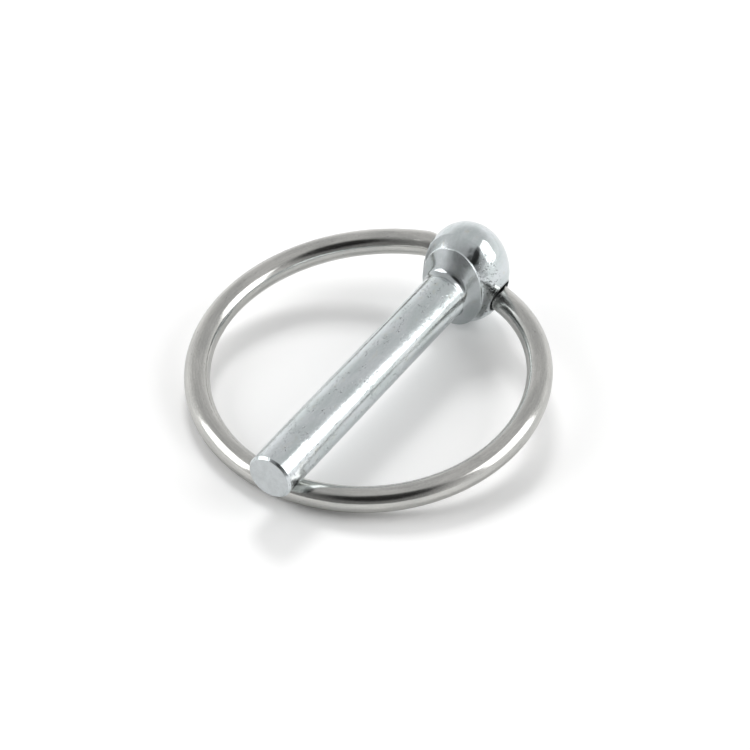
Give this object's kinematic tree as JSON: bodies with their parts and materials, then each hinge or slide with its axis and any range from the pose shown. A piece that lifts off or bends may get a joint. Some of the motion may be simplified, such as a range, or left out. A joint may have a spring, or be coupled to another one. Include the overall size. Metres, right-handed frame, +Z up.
{
  "type": "linch pin",
  "caption": "Round pin with a ball head and a bell collar, and a spring-wire ring that turns in the head's cross hole and closes over the tip.",
  "frame": {"origin": "on the floor that the part lies on, at the middle of its bounding box seen from above", "axes": "+X runs from the ball head to the tip, along the part's longest side; +Z is up from the floor; +Y completes the right-handed frame"},
  "size_m": [0.05, 0.045, 0.014],
  "materials": {
    "pin_plate": "bright zinc plate over forged steel, glossy on the ball and finely streaked along the shank",
    "ring_wire": "plated spring wire, semi-gloss with a fine drawn grain"
  },
  "bodies": {
    "pin": {"pin": "pin_plate"},
    "ring": {"ring": "ring_wire"}
  },
  "joints": [
    {"name": "ring_swing", "type": "hinge", "parent": "pin", "child": "ring", "pos_m": [-0.01992, 0.00176, 0.007], "axis": [-0.0054, 0.9537, -0.3007], "range_deg": [0, 346]}
  ]
}
